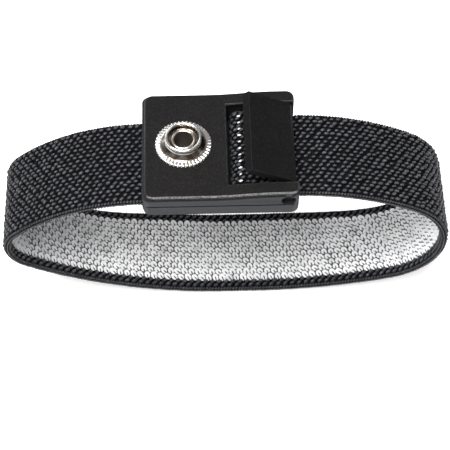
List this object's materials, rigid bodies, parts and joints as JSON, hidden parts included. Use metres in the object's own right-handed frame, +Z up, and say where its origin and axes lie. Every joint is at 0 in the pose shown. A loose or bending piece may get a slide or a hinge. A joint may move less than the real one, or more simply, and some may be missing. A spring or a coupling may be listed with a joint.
{
  "type": "esd wrist strap",
  "caption": "Elastic wrist strap with a conductive lining, a lever clamp buckle and a male snap stud for a ground cord.",
  "frame": {"origin": "middle of the bounding box, at the level of the flat the loop rests on", "axes": "+X along the buckle from the stud end to the lever end, +Y along the loop's axis, +Z up through the stud"},
  "size_m": [0.0912, 0.0256, 0.045],
  "materials": {
    "black_knit": "rough",
    "silver_knit": "satin",
    "rubber_core": "rough",
    "stitch_thread": "satin",
    "cover_plastic": "satin",
    "body_plastic": "satin",
    "lever_plastic": "rough",
    "nickel_plate": "polished",
    "stainless": "brushed"
  },
  "bodies": {
    "root": {"elastic_band": "black_knit", "conductive_lining": "silver_knit", "rubber_threads": "rubber_core", "hem_stitches": "stitch_thread", "top_cover": "cover_plastic", "buckle_body": "body_plastic", "base_tray": "body_plastic", "contact_plate": "stainless", "snap_stud": "nickel_plate", "snap_eyelet": "nickel_plate", "hinge_pin": "stainless"},
    "lever": {"clamp_lever": "lever_plastic"}
  },
  "joints": [
    {"name": "lever_hinge", "type": "hinge", "parent": "root", "child": "lever", "pos_m": [0.0119, 0, 0.039], "axis": [0, 1, 0], "range_deg": [-27, 60]}
  ]
}
